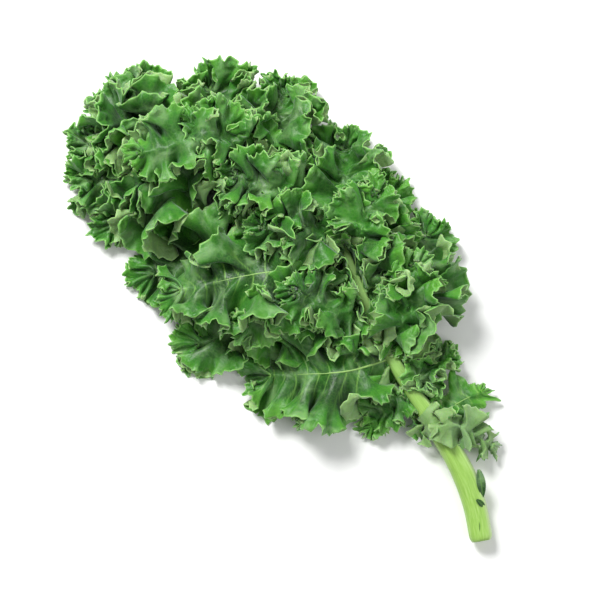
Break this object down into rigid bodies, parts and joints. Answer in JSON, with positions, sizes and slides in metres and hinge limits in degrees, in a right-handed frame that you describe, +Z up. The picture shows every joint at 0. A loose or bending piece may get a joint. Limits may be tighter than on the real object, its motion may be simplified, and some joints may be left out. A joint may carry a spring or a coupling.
{
  "type": "curly kale leaf",
  "caption": "Large curly kale leaf lying flat: a pale bare stalk running into a broad, densely ruffled green blade with crimped, toothed margins.",
  "frame": {"origin": "middle of the leaf's footprint, on the surface that it lies on", "axes": "+X from the cut end of the stalk towards the tip of the leaf, +Y across the blade to the leaf's left as it lies, +Z up from the surface"},
  "size_m": [0.369, 0.19, 0.064],
  "materials": {
    "leaf_blade": "satin",
    "stalk": "satin"
  },
  "bodies": {
    "root": {"stalk_and_midrib": "stalk", "left_lobe_1": "leaf_blade", "left_lobe_2": "leaf_blade", "left_lobe_3": "leaf_blade", "left_lobe_4": "leaf_blade", "left_lobe_5": "leaf_blade", "left_lobe_6": "leaf_blade", "right_lobe_1": "leaf_blade", "right_lobe_2": "leaf_blade", "right_lobe_3": "leaf_blade", "right_lobe_4": "leaf_blade", "right_lobe_5": "leaf_blade", "tip_lobe_1": "leaf_blade", "tip_lobe_2": "leaf_blade", "tip_lobe_3": "leaf_blade", "middle_lobe_1": "leaf_blade", "middle_lobe_2": "leaf_blade", "middle_lobe_3": "leaf_blade", "middle_lobe_4": "leaf_blade", "middle_lobe_5": "leaf_blade", "middle_lobe_6": "leaf_blade", "middle_lobe_7": "leaf_blade", "middle_lobe_8": "leaf_blade", "stalk_leaflet_1": "leaf_blade", "stalk_leaflet_2": "leaf_blade", "stalk_collar": "leaf_blade", "stalk_scale_1": "leaf_blade", "stalk_scale_2": "leaf_blade"}
  },
  "joints": []
}
